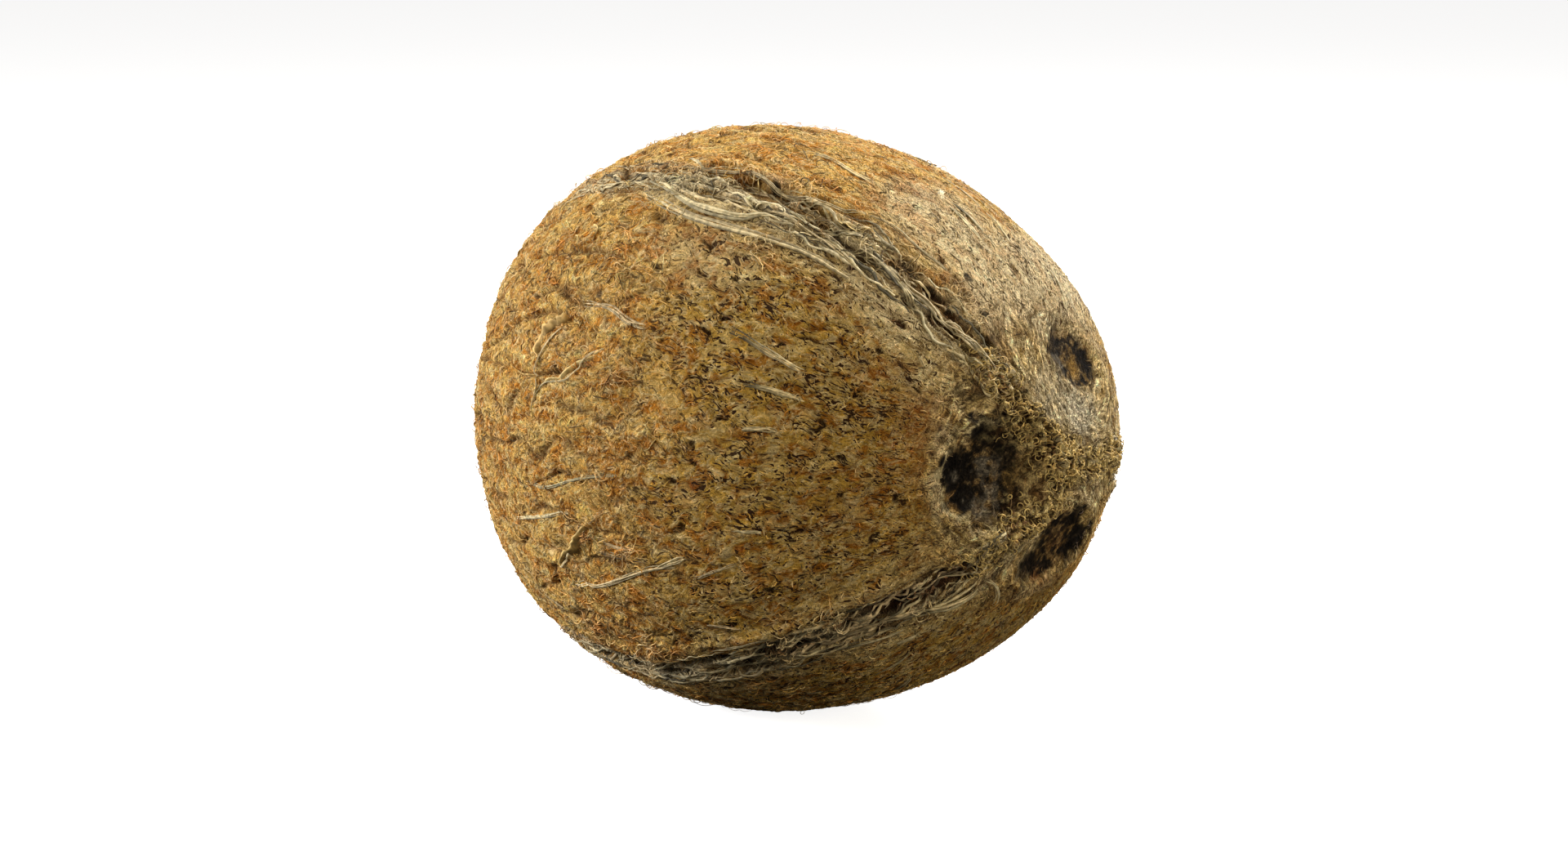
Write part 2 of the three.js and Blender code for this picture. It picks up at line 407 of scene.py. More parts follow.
def weave(at):
    """The felt's own pattern: crests of fibres, loops and pits from 0 to 1, and fuzz on both sides of 0.
    Crests lie along the grain, at two slants, and across it where the felt is torn. They give way to rings
    round the eyes where it is bare, and to straight lanes in a suture's band. Pits are the few highest
    spots of noise."""
    lying = crests(at.bent / [4.2, 0.85, 0.85], 53) * (1 - 0.65 * at.torn)
    across = crests(at.bent / [0.85, 3.4, 3.4], 57) * (0.25 + 0.75 * at.torn)
    slants = [crests(slanted(at.bent, turn) / [3.0, 0.9, 0.9], seed) for turn, seed in ((40, 59), (-43, 63))]
    fibres = np.maximum(np.maximum(lying, across), 0.85 * np.maximum(*slants))
    curved = crests((at.rings + 0.5 * at.bend) / [0.95, 4.5, 4.5], 67)
    curved = np.where(at.latitude > 0, curved, crests(at.swirl / 2.6, 71))
    fibres = fibres + (0.75 * curved + 0.35 * crests(at.swirl / 1.9, 69) - fibres) * at.bare
    lanes = np.stack([at.grain[..., 0] / 9, at.beside / 0.85, at.which * 5.3 + at.grain[..., 0] / 30], -1)
    fibres = fibres + (crests(lanes, 73) - fibres) * 0.85 * at.band
    long_loops = crests(at.bent / [3.4, 1.9, 1.9], 47, 5.5) * (1 - 0.5 * at.torn)
    loops = np.maximum(crests(at.bent / 2.4, 43, 5.5), long_loops)
    loops = loops * ease(noise(at.place / 3.1, 49), -0.15, 0.25) * (1 - at.bare) * (1 - at.band)
    pits = ease(noise(at.bent / [3.4, 2.1, 2.1], 39), 0.58, 0.68) * (1 - 0.5 * at.torn) * (1 - at.bare)
    fuzz = rough(at.mixed / [1.2, 0.9, 0.9], 2, 77) * (1 - 0.5 * at.bare)
    return fibres, loops, pits, fuzz


def clean_felt(at, fibres, loops):
    """The felt's colour as it grew and weathered, and its tone from 0 to 1. The tone, from patches of noise
    and from the height of the fibres as painted light on their crests, goes from low to high in each of
    three pairs of colours, which are mixed by how torn and how weathered the felt is. Patches and flecks of
    clean fibre lie over that."""
    patches = ease(rough(at.mixed / [4.4, 2.7, 2.7], 3, 83), -0.24, 0.22)
    ringed = 0.6 * rough(at.rings / [1.6, 5.5, 5.5], 3, 89) * (at.latitude > 0)
    ringed = ringed + 0.5 * rough(at.swirl / 4.0, 3, 79)
    patches = patches + (ease(ringed, -0.22, 0.18) - patches) * 0.85 * at.bare
    # The fibres' height paints light on their crests.
    tone = np.clip(0.76 * patches + 0.36 * fibres - 0.08 + 0.45 * loops, 0, 1)
    worn = (UMBER + (OLIVE - UMBER) * tone[..., None]) * (1 - 0.14 * ease(at.latitude, 22, 42))[..., None]
    ripped = FOX + (STRAW - FOX) * tone[..., None]
    tint = worn + (ripped - worn) * at.torn[..., None]
    beside = 0.9 * grey_beside(at.aim, np.where(at.which == 0, 0.45, 0.1)) * np.where(at.which == 1, 0.75, 1)
    grey = np.maximum(beside, 0.9 * ease(at.latitude + 3.5 * rough(at.grain / 5, 3, 97), 56, 64))
    weathered = (ASH + (STONE - ASH) * tone[..., None]) * (1 + 0.55 * at.bare)[..., None]
    tint = tint + (weathered - tint) * grey[..., None]
    clean = ease(rough(at.mixed / [3.8, 2.8, 2.8], 3, 119), 0.02, 0.34) * (1 - 0.6 * at.band)
    tint = blend(tint, GOLD, 0.5 * clean * (1 - 0.4 * at.torn))
    fleck = ease(noise(at.bent / [1.3, 0.8, 0.8], 85), 0.15, 0.35) * ease(fibres, 0.3, 0.8)
    tint = blend(tint, CREAM, 0.5 * np.maximum(fleck * (1 - 0.6 * at.bare), ease(loops, 0.3, 0.8)))
    return tint, tone


def in_the_suture(at, tint, deep):
    """The felt's colour with a suture's band laid over it: pale on the crests of its ribbons, painted shade
    between them, the more so the deeper the suture, and brown in long streaks of noise."""
    ribbon = ribbons(at.aim)
    tint = blend(tint, PALE, 0.9 * at.band * ease(ribbon, 0.2, 0.6) * np.where(at.which == 1, 0.8, 1))
    between = np.where(at.which == 1, 0.98, 0.85) * deep * at.band * (1 - ease(ribbon, 0.02, 0.30))
    # Painted shade in the gaps between the ribbons.
    tint = blend(tint, STRAND_GAP_SHADE, between)
    brown = ease(rough(at.grain / [7, 2, 2], 2, 87), 0.1, 0.5) * at.band * (1 - ease(at.latitude, 45, 60))
    return blend(tint, LIGHT_DAMP, 0.5 * brown * deep)


def bleached(at, tint, tone):
    """The felt's colour with its pale spots, each fading by the fourth power of its distance, and with
    painted shade in the lines between the rings of fibre round the eyes."""
    pale = sum(strength * np.exp(-(from_spot(at.aim, *spot) ** 4)) for *spot, strength in PALE_SPOTS)
    tint = blend(tint, PALE, np.clip(pale, 0, 0.9) * (0.5 + 0.5 * tone))
    between = ease(rough(at.rings / [0.75, 4.2, 4.2], 2, 201), 0.1, 0.42)
    # Painted shade between the rings of fibre.
    return blend(tint, RING_GAP_SHADE, 0.62 * at.bare * between * (at.latitude > 0))


def stained(at, tint, tone, fibres, fuzz, eyes):
    """The felt's colour with its stains, and how mouldy it is: rust, then mottled mould in the eyes and in
    spots, then the spots with a colour of their own. A spot fades by a power of its ragged distance: the
    higher the power, the harder its edge."""
    ragged = 1 + 0.5 * rough(at.place / 2.0, 3, 101)
    for *spot, strength in RUSTED:
        fading = strength * np.exp(-((from_spot(at.aim, *spot) * ragged) ** 3))
        tint = blend(tint, RUST, fading * (0.4 + 0.6 * (1 - fibres)))
    mould = 0
    mottle = 1 - 0.85 * ease(rough(at.place / 1.9, 3, 109), -0.12, 0.3)
    for away, strength in zip(eyes, MOULDY):
        inside = 1 - ease(away + 0.2 * fuzz, 0.82, 1.04)
        tint = blend(tint, EYE_BROWN_AND_FURROW_SHADE, 0.65 * (strength > 0) * inside)
        mould = np.maximum(mould, strength * mottle * inside)
    for *spot, strength in BLACKENED:
        mould = np.maximum(mould, strength * np.exp(-((from_spot(at.aim, *spot) * ragged) ** 8)))
    tint = blend(tint, SOOT, np.clip(mould * (1.15 - 0.2 * fibres), 0, 1))
    for *spot, strength, colour in BARE_SPOTS:
        fading = strength * np.exp(-((from_spot(at.aim, *spot) * ragged) ** 4))
        tint = blend(tint, colour, fading * (0.7 + 0.3 * tone))
    return tint, mould


def crumbed(at, tint, fibres, crumbly, crumbs, eyes):
    """The felt's colour with its pale crests, on the first eye's rim and along the ridges between the eyes,
    and with crumbs beside them: pale or brown ones, and painted shade between them."""
    rim = np.exp(-(((eyes[0] - 1.07) / 0.05) ** 2)) * (1 - ease(at.latitude, 66, 76))
    crest = np.exp(-((at.beside / 1.1) ** 2)) * np.where(at.which == 0, 0.6, 1.0)
    rim = np.maximum(rim, crest * ease(at.latitude, 62, 68))
    tint = blend(tint, CREAM, 0.9 * np.clip(rim, 0, 1) * (0.5 + 0.5 * fibres))
    # Painted shade in the gaps between the crumbs.
    tint = blend(tint, RECESS_SHADE, crumbly * (1 - ease(crumbs, 0.1, 0.8)) * ease(at.latitude, 58, 66))
    lump = crumbly * crumbs * ease(at.latitude, 56, 62)
    tint = blend(tint, CRUMB, lump * ease(noise(at.place / 2.3, 103), -0.4, 0.0))
    return blend(tint, LIGHT_DAMP, 0.6 * lump * ease(noise(at.place / 2.0, 107), 0.1, 0.35))


def skin(aim):
    """The felt at unit vectors: its fine height in mm, its colour, and two sets of masks for its material.
    The height adds up fibres, loops, fuzz, crumbs and pits. The colour is the clean felt's, moved in turn
    towards others, with painted light where the fibres lie high and painted shade where they lie low."""
    at = FeltLie(aim)
    fibres, loops, pits, fuzz = weave(at)
    smooth = grey_beside(aim, 0.1) * (1 - at.band) * ease(at.latitude, 10, 30)
    height = (0.16 + 0.06 * at.torn) * fibres * (1 - 0.5 * smooth) + 0.07 * fuzz - 0.5 * pits
    height += (0.12 + 0.14 * at.torn) * loops * (1 - smooth)
    crumbly = crumbled(aim)
    crumbs = ease(noise(at.place / 1.35 + 0.4 * at.bend, 81), -0.25, 0.2)
    height += crumbly * (0.8 * crumbs - 0.35)

    eyes = eye_reach(aim)
    deep = 0.3 + 0.7 * ease(at.latitude, 5, 32)
    tint, tone = clean_felt(at, fibres, loops)
    tint = bleached(at, in_the_suture(at, tint, deep), tone)
    tint, mould = stained(at, tint, tone, fibres, fuzz, eyes)
    blotches = 0.22 * np.clip(rough(at.swirl / [5, 3, 3], 3, 117), -0.8, 0.8)
    # Painted light on the fibres' crests and painted shade between them, with blotches of the felt's own
    # tone.
    shade = 0.64 - 0.20 * at.bare + (0.50 + 0.35 * at.bare) * fibres
    shade = shade + 0.20 * np.clip(fuzz, -0.6, 0.6) + blotches
    # Painted shade in the blunt end's furrows, then the painted light and shade of the fibres' height.
    tint = blend(tint, EYE_BROWN_AND_FURROW_SHADE, 0.9 * furrows(aim, at.torn)) * shade[..., None]
    # Painted shade in the pits.
    tint = blend(tint, RECESS_SHADE, pits * (1 - 0.6 * crumbly))
    tint = crumbed(at, tint, fibres, crumbly, crumbs, eyes)
    # Painted shade in the crevices between a suture's strands.
    tint = blend(tint, RECESS_SHADE, 0.95 * deep * crevices(aim, at.band))

    clean = 1 - np.clip(mould, 0, 1)
    pitted = (1 - 0.45 * at.torn) * (1 - 0.5 * at.band) * (1 - 0.2 * at.bare) * clean
    curly = (0.45 + 0.45 * at.torn) * (1 - 0.6 * at.band) * (1 - 0.4 * at.bare) * (1 - 0.7 * smooth)
    curly = np.clip(curly + 0.6 * crumbly, 0, 1) * clean
    marks = {"marks": [at.torn, at.bare, mould], "more": [pitted, curly, 0 * clean]}
    return height, np.clip(tint, 0.003, 0.9), {label: np.stack(masks, -1) for label, masks in marks.items()}


def lie_of_the_felt(aim):
    """The places in mm that the felt's finest texture is drawn in: along the bent grain, the same at a
    slant in degrees, and in rings round the eyes."""
    bent, bend = bent_grain(aim)
    return {"grain": bent, "slant": slanted(bent, -38), "rings": in_rings(aim) + 0.4 * bend}


# The plain egg is put where its box, cut flat underneath, has the same middle as the frame's.
plain_aim = direction(*np.meshgrid(np.linspace(-90, 90, 181), np.linspace(0, 360, 361)))
plain_points, _ = egg(plain_aim, 0 * plain_aim[..., 0])
box_low, box_high = (np.array(corner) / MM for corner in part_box("coconut"))
table = plain_points[..., 2].min() + REST_DEPTH
own_low, own_high = plain_points.min((0, 1)), plain_points.max((0, 1))
own_low[2] = table
middle = (box_low + box_high) / 2 - (own_low + own_high) / 2


def on_the_nut(aim, lift):
    """Where a lift in mm above the husk's broad shape comes to in each direction, in mm in the frame, kept
    off the table's level, and the outward normals."""
    point, outward = egg(aim, shape(aim) + lift)
    point = point + middle
    point[..., 2] = np.maximum(point[..., 2], 0)
    return point, outward


CELLS = 300  # squares along each edge of a side of the husk
WALL = 3.0  # mm that each side's edge reaches inward, where it meets its neighbours
SIDES = {"husk_eye_end": (0, 1), "husk_blunt_end": (0, 0), "husk_back": (1, 1), "husk_front": (1, 0),
         "husk_top": (2, 1), "husk_underside": (2, 0)}  # the axis each side faces along, and which way


def side_of_the_nut(axis, far):
    """Unit vectors on a square grid that covers one side of the nut: the side of a cube blown up into a
    ball, with each coordinate the tangent of an even step, so that neighbouring sides share the points of
    their edges."""
    step = np.tan((np.arange(CELLS + 1) / CELLS * 2 - 1) * np.pi / 4)
    u, v = np.meshgrid(step, step, indexing="ij")
    aim = np.empty(u.shape + (3,))
    aim[..., axis] = 1 if far else -1
    aim[..., (axis + 1) % 3] = u if far else v
    aim[..., (axis + 2) % 3] = v if far else u
    return aim / np.linalg.norm(aim, axis=-1, keepdims=True)


def closed_side(aim, height):
    """Points and triangles of one side of the husk, made solid: the grid outside, a wall inward all round
    its edge, and a flat cone inside from the wall's foot to one point. Also how many triangles lie
    outside."""
    outside = on_the_nut(aim, height)[0]
    size = CELLS + 1
    number = np.arange(size * size).reshape(size, size)
    a, b, c, d = number[:-1, :-1], number[1:, :-1], number[1:, 1:], number[:-1, 1:]
    grid = np.concatenate([np.stack(corners, -1).reshape(-1, 3) for corners in ((a, b, c), (a, c, d))])
    edge = np.concatenate([number[:-1, 0], number[-1, :-1], number[:0:-1, -1], number[0, :0:-1]])
    rim = outside.reshape(-1, 3)[edge]
    foot = middle + (rim - middle) * (1 - WALL / MEAN_RADIUS)
    tip = middle + (foot.mean(0) - middle) * 0.9
    low = size * size + np.arange(len(edge))
    after, low_after = np.roll(edge, -1), np.roll(low, -1)
    wall = np.concatenate([np.stack([edge, low, low_after], -1), np.stack([edge, low_after, after], -1)])
    cone = np.stack([low, np.full(len(low), size * size + len(edge)), low_after], -1)
    points = np.concatenate([outside.reshape(-1, 3), foot, tip[None]])
    return points, np.concatenate([grid, wall, cone]), len(grid)


def add_mesh(name, points, triangles, attributes, material, flat_after=None):
    """A mesh object from points in mm, triangles, and attributes by name: three columns make a colour. It
    is shaded smooth up to the triangle numbered flat_after. It rides on the nut's body."""
    mesh = bpy.data.meshes.new(name)
    mesh.vertices.add(len(points))
    mesh.vertices.foreach_set("co", (points * MM).astype(np.float32).ravel())
    mesh.loops.add(triangles.size)
    mesh.loops.foreach_set("vertex_index", triangles.astype(np.int32).ravel())
    mesh.polygons.add(len(triangles))
    mesh.polygons.foreach_set("loop_start", np.arange(0, triangles.size, 3, dtype=np.int32))
    mesh.update(calc_edges=True)
    mesh.shade_smooth()
    if flat_after is not None:
        flat = np.arange(len(triangles)) >= flat_after
        mesh.attributes.new("sharp_face", "BOOLEAN", "FACE").data.foreach_set("value", flat)
    for label, values in attributes.items():
        colour = np.ones((len(points), 4), np.float32)
        colour[:, :3] = values
        mesh.attributes.new(label, "FLOAT_COLOR", "POINT").data.foreach_set("color", colour.ravel())
    mesh.materials.append(material)
    piece = bpy.data.objects.new(name, mesh)
    bpy.context.scene.collection.objects.link(piece)
    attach(piece, "root")
    return piece


def new_material(name):
    """A material with nodes, its node tree, and its shader."""
    material = bpy.data.materials.new(name)
    material.use_nodes = True
    return material, material.node_tree, material.node_tree.nodes["Principled BSDF"]


def add_node(tree, kind, inputs=(), **settings):
    """A shader node of a kind with its settings, and its inputs given as values or as sockets to link
    from."""
    made = tree.nodes.new("ShaderNode" + kind)
    for key, value in settings.items():
        setattr(made, key, value)
    for key, value in dict(inputs).items():
        if isinstance(value, bpy.types.NodeSocket):
            tree.links.new(value, made.inputs[key])
        else:
            made.inputs[key].default_value = value
    return made


def maths(tree, operation, *values):
    """The output of a Math node."""
    return add_node(tree, "Math", enumerate(values), operation=operation).outputs[0]


def vectors(tree, operation, *values):
    """The vector output of a Vector Math node."""
    return add_node(tree, "VectorMath", enumerate(values), operation=operation).outputs[0]


def mixed(tree, share, first, second):
    """The output of a colour Mix node."""
    return add_node(tree, "Mix", {0: share, 6: first, 7: second}, data_type="RGBA").outputs[2]


def mixed_values(tree, share, first, second):
    """The output of a Mix node for plain numbers."""
    return add_node(tree, "Mix", {0: share, 2: first, 3: second}).outputs[0]


def remapped(tree, value, low, high, to_low=0.0, to_high=1.0):
    """A number taken from one range to another with a smooth S."""
    inputs = {0: value, 1: low, 2: high, 3: to_low, 4: to_high}
    return add_node(tree, "MapRange", inputs, interpolation_type="SMOOTHSTEP").outputs[0]


def felt_group():
    """A node group for the felt's finest texture, as masks from 0 to 1. Hair is noise drawn out along the
    grain, or across it where the felt is torn, or in rings where it is bare. Speck is noise of one size all
    ways. Pits are the few highest spots of short streaks. Curls are thin lines where noise crosses its
    middle value."""
    group = bpy.data.node_groups.new("coir felt", "ShaderNodeTree")
    for label in ("Torn", "Bare"):
        group.interface.new_socket(label, in_out="INPUT", socket_type="NodeSocketFloat")
    for label in ("Grain", "Slant", "Rings"):
        group.interface.new_socket(label, in_out="INPUT", socket_type="NodeSocketVector")
    for label in ("Hair", "Speck", "Pits", "Curls"):
        group.interface.new_socket(label, in_out="OUTPUT", socket_type="NodeSocketFloat")
    given = group.nodes.new("NodeGroupInput").outputs
    out = group.nodes.new("NodeGroupOutput")

    def streaks(place, per_mm, detail, distortion):
        """Noise with so many spots to the mm each way, its finer layers counted by the detail, and bent by
        the distortion."""
        stretched = vectors(group, "MULTIPLY", place, per_mm)
        inputs = {"Vector": stretched, "Scale": 1.0, "Detail": detail, "Roughness": 0.6}
        return add_node(group, "TexNoise", {**inputs, "Distortion": distortion}).outputs[0]

    place = vectors(group, "SCALE", add_node(group, "TexCoord").outputs["Object"])
    place.node.inputs["Scale"].default_value = 1 / MM
    hair = mixed_values(group, given["Torn"], streaks(given["Grain"], (1.0, 3.8, 3.8), 2.0, 0.6),
                        streaks(given["Grain"], (3.0, 1.2, 1.2), 2.0, 1.0))
    hair = mixed_values(group, given["Bare"], hair, streaks(given["Rings"], (3.6, 0.9, 0.9), 2.0, 0.6))
    speck = streaks(place, (2.8, 2.8, 2.8), 3.0, 0.6)

    clump = maths(group, "MULTIPLY_ADD", streaks(given["Grain"], (0.17, 0.23, 0.23), 1.0, 0.0), 0.3, -0.15)
    first = maths(group, "ADD", streaks(given["Grain"], (0.85, 1.7, 1.7), 1.0, 0.3), clump)
    second = maths(group, "ADD", streaks(given["Slant"], (0.95, 1.9, 1.9), 1.0, 0.3), clump)
    pits = maths(group, "MAXIMUM", remapped(group, first, 0.62, 0.65), remapped(group, second, 0.635, 0.665))

    def thin_lines(value):
        """1 where a noise value is at its middle, and 0 a little way off it."""
        from_middle = maths(group, "ABSOLUTE", maths(group, "SUBTRACT", value, 0.5))
        return remapped(group, from_middle, 0.055, 0.012)

    lines = thin_lines(streaks(given["Grain"], (0.45, 0.95, 0.95), 0.0, 0.9))
    loops = thin_lines(streaks(given["Slant"], (0.8, 0.75, 0.75), 0.0, 1.3))
    patch = remapped(group, streaks(given["Slant"], (0.3, 0.35, 0.35), 1.0, 0.0), 0.45, 0.56)
    curls = mixed_values(group, patch, lines, loops)

    group.links.new(remapped(group, hair, 0.33, 0.67), out.inputs["Hair"])
    group.links.new(remapped(group, speck, 0.36, 0.66), out.inputs["Speck"])
    group.links.new(pits, out.inputs["Pits"])
    group.links.new(curls, out.inputs["Curls"])
    return group


FELT = felt_group()
FELT_DEPTH = 0.3  # mm from the bottom of a pit to the top of a hair
FELT_CONTRAST, BARE_CONTRAST = 0.9, 1.5  # how far hairs and specks change its tint, and where it is bare
CURL_STRENGTH = 0.62  # how far the pale curls cover what is under them


def husk_material():
    """Coir felt, quite dull, and a little glossier where old sap has set in the eyes: the skin's own tint,
    made lighter and darker by fine hairs and specks, with pale curls over it and painted shade in its pits."""
    material, tree, shader = new_material("coir felt")
    given = {label: add_node(tree, "Attribute", attribute_name=label).outputs for label in
             ("tint", "marks", "more", "grain", "slant", "rings")}
    torn, bare, mould = add_node(tree, "SeparateColor", {0: given["marks"]["Color"]}).outputs[:3]
    pitted, curly, _ = add_node(tree, "SeparateColor", {0: given["more"]["Color"]}).outputs[:3]
    wired = {"Torn": torn, "Bare": bare}
    wired.update((label.title(), given[label]["Vector"]) for label in ("grain", "slant", "rings"))
    felt = add_node(tree, "Group", wired, node_tree=FELT)
    hair, speck, pits, curls = (felt.outputs[label] for label in ("Hair", "Speck", "Pits", "Curls"))
    pits = maths(tree, "MULTIPLY", pits, pitted)
    curls = maths(tree, "MULTIPLY", curls, curly)
    high = maths(tree, "ADD", maths(tree, "MULTIPLY", hair, 0.5), maths(tree, "MULTIPLY", speck, 0.5))
    shaded = vectors(tree, "SCALE", given["tint"]["Color"])
    contrast = mixed_values(tree, bare, FELT_CONTRAST, BARE_CONTRAST)
    uneven = maths(tree, "MULTIPLY", maths(tree, "SUBTRACT", high, 0.5), contrast)
    tree.links.new(maths(tree, "ADD", uneven, 0.97), shaded.node.inputs["Scale"])
    shaded = mixed(tree, maths(tree, "MULTIPLY", curls, CURL_STRENGTH), shaded, (*GOLD, 1))
    # Painted shade in the fine pits.
    shaded = mixed(tree, pits, shaded, (*RECESS_SHADE, 1))
    tree.links.new(shaded, shader.inputs["Base Color"])
    tree.links.new(mixed_values(tree, mould, 0.85, 0.6), shader.inputs["Roughness"])
    shader.inputs["Specular IOR Level"].default_value = 0.08
    relief = maths(tree, "MULTIPLY_ADD", curls, 0.6, maths(tree, "MULTIPLY_ADD", pits, -1.0, high))
    bump = add_node(tree, "Bump", {"Height": relief, "Distance": FELT_DEPTH * MM, "Strength": 1.0})
    tree.links.new(bump.outputs[0], shader.inputs["Normal"])
    return material


HUSK = husk_material()

for name, (axis, far) in SIDES.items():
    aim = side_of_the_nut(axis, far)
    height, tint, marks = skin(aim)
    points, triangles, outside = closed_side(aim, height)
    inner = np.zeros((len(points) - CELLS * (CELLS + 2) - 1, 3))
    looks = {label: np.concatenate([values.reshape(-1, 3), inner + UMBER])
             for label, values in {"tint": tint, **marks, **lie_of_the_felt(aim)}.items()}
    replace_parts(add_mesh(name, points, triangles, looks, HUSK, outside), "coconut")

# The coir mat.
# Thousands of short coir fibres lie in and on the husk's skin, each one torn off short when the outer husk
# was pulled away. They are finer than a quarter of a millimetre, sunk at both ends, and lie at all slants.

MAT_FIBRES = 20000
FIBRE_TONES = [1.9, 1.3, 0.75, 0.22]  # how bright a fibre is beside the husk under it
FIBRE_SHARES = [0.38, 0.27, 0.20, 0.15]  # how many fibres have each of those tones
BLEACHED = np.array([0.78, 0.68, 0.42])  # a fibre that sun and rain have faded
TABLE_GAP = 1.8  # mm above the table that fibres keep


def coir_material():
    """A bare coir fibre: its own tint, streaked a little along its length, and not quite as dull as the
    felt."""
    material, tree, shader = new_material("coir fibre")
    tint = add_node(tree, "Attribute", attribute_name="tint").outputs["Color"]
    place = add_node(tree, "TexCoord").outputs["Object"]
    streak = add_node(tree, "TexNoise", {"Vector": place, "Scale": 1100.0, "Detail": 1.0}).outputs[0]
    shaded = vectors(tree, "SCALE", tint)
    tree.links.new(remapped(tree, streak, 0.3, 0.7, 0.65, 1.25), shaded.node.inputs["Scale"])
    tree.links.new(shaded, shader.inputs["Base Color"])
    shader.inputs["Roughness"].default_value = 0.65
    shader.inputs["Specular IOR Level"].default_value = 0.15
    return material


COIR = coir_material()


def walk(start, bearing, step):
    """Paths over the nut as unit vectors, one per row: each step goes the same number of mm on from the
    last, on a bearing in degrees from the way to the eye end, positive towards a greater roll."""
    path = [start]
    for turn in np.radians(bearing).T[:-1]:
        aim = path[-1]
        around = np.hypot(aim[:, 1], aim[:, 2]) + 1e-6
        sine, cosine = -aim[:, 1] / around, aim[:, 2] / around
        north = np.stack([around, aim[:, 0] * sine, -aim[:, 0] * cosine], -1)
        east = np.stack([0 * sine, -cosine, -sine], -1)
        way = north * np.cos(turn)[:, None] + east * np.sin(turn)[:, None]
        aim = aim + way * (step / MEAN_RADIUS)[:, None]
        path.append(aim / np.linalg.norm(aim, axis=1, keepdims=True))
    return np.stack(path, 1)


def axes_along(points, outward):
    """At each point of paths in rows: the unit vectors across the path, level with the skin, and up from
    it."""
    ahead = np.gradient(points, axis=1)
    ahead /= np.linalg.norm(ahead, axis=-1, keepdims=True) + 1e-12
    across = np.cross(outward, ahead)
    across /= np.linalg.norm(across, axis=-1, keepdims=True) + 1e-12
    return across, np.cross(ahead, across)


def joined_rings(rings, tips):
    """Points and triangles of closed tubes, one per row: rings of points side by side, each joined to the
    next, and a tip at each end joined to the first and last ring."""
    count, steps, sides, _ = rings.shape
    every = np.concatenate([rings.reshape(count, -1, 3), tips], 1)
    ring, side = np.meshgrid(np.arange(steps - 1), np.arange(sides), indexing="ij")
    here, there = (ring * sides + side).ravel(), (ring * sides + (side + 1) % sides).ravel()
    bands = np.stack([here, there, there + sides, here, there + sides, here + sides], -1).reshape(-1, 3)
    side = np.arange(sides)
    after = (side + 1) % sides
    last = (steps - 1) * sides
    tip = np.full(sides, steps * sides)
    first_cap = np.stack([tip, after, side], -1)
    one = np.concatenate([bands, first_cap, np.stack([tip + 1, last + side, last + after], -1)])
    triangles = one[None] + every.shape[1] * np.arange(count)[:, None, None]
    points = every.reshape(-1, 3)
    points[:, 2] = np.maximum(points[:, 2], 0)
    return points, triangles.reshape(-1, 3)


def along_each(values, sides):
    """Values given at each step of paths in rows, repeated for every point that joined_rings() makes."""
    rings = np.repeat(values[:, 1:-1], sides, 1)
    return np.concatenate([rings, values[:, [0, -1]]], 1).reshape((-1,) + values.shape[2:])


def tubes(path, lift, width, sides, flatness):
    """Fibres along paths of unit vectors, at a lift in mm: rings of sides, spread by the width across and
    by the width times the flatness outward, and a tip at each end."""
    points, outward = on_the_nut(path, lift)
    across, up = axes_along(points, outward)
    angle = (np.arange(sides) * 2 * np.pi / sides + np.pi / 2)[:, None]
    spread = across[:, 1:-1, None] * np.cos(angle) + flatness * up[:, 1:-1, None] * np.sin(angle)
    rings = points[:, 1:-1, None] + spread * width[:, 1:-1, None, None] / 2
    return joined_rings(rings, points[:, [0, -1]])


def clear_of_the_table(path):
    """Which paths of unit vectors keep well off the table, so that none is pressed flat on it."""
    return on_the_nut(path, 0 * path[..., 0])[0][..., 2].min(1) > TABLE_GAP


def fibre_tint(path, tone, ash, least=0.4, fair=BLEACHED):
    """The colour at each step of paths in rows: the skin's tint at the middle of each, but no darker than
    the least sum of its three shares, moved towards a fair one as bright by the ash, times a tone for each
    path or step. Where that is too bright for a fibre, all three shares are cut alike."""
    tint = skin(path[:, path.shape[1] // 2])[1]
    bright = np.clip(tint.sum(-1, keepdims=True), least, 1.0)
    tint = tint * bright / tint.sum(-1, keepdims=True)
    tint = tint + (fair * bright / fair.sum() - tint) * ash
    tone = np.broadcast_to(tone.reshape(len(path), -1), path.shape[:2])
    tint = tint[:, None] * tone[..., None]
    return np.maximum(tint * np.minimum(1, 0.85 / tint.max(-1, keepdims=True)), 0.004)


def add_fibres(name, path, lift, width, tone, sides=3, flatness=0.7, ash=0.15, least=0.4, fair=BLEACHED):
    """One piece of many fibres, each with its own lift and width along its path, and its own tone."""
    points, triangles = tubes(path, lift, width, sides, flatness)
    tint = along_each(fibre_tint(path, tone, ash, least, fair), sides)
    return add_mesh(name, points, triangles, {"tint": tint}, COIR)


def toned(tones, shares, count, spread=0.1):
    """A tone for each fibre: one of several, picked by their shares, and up to the spread brighter or
    darker."""
    return rng.choice(tones, count, p=shares) * rng.uniform(1 - spread, 1 + spread, count)


def scattered(count):
    """Unit vectors spread evenly over a ball at random: a height picked evenly, and a turn picked
    evenly."""
    height, turn = rng.uniform(-1, 1, count), rng.uniform(0, 2 * np.pi, count)
    flat = np.sqrt(1 - height**2)
    return np.stack([height, flat * np.cos(turn), flat * np.sin(turn)], -1)


def bearings(start, steps, spread, curl):
    """Bearings for fibres from these starts: along the grain, or turned across it where the felt is torn,
    each off by its own angle, curling by a steady turn, and wriggling a little at each step."""
    count = len(start)
    torn = frizz(start)
    swirl = 30 * noise(start * MEAN_RADIUS / 6, 131)
    main = swirl + spread * rng.normal(size=count) + 80 * torn * (rng.uniform(size=count) < 0.7)
    bend = curl * rng.normal(size=count)
    wriggle = np.cumsum(14 * rng.normal(size=(count, steps)), 1)
    return main[:, None] + bend[:, None] * np.linspace(-1, 1, steps) + wriggle


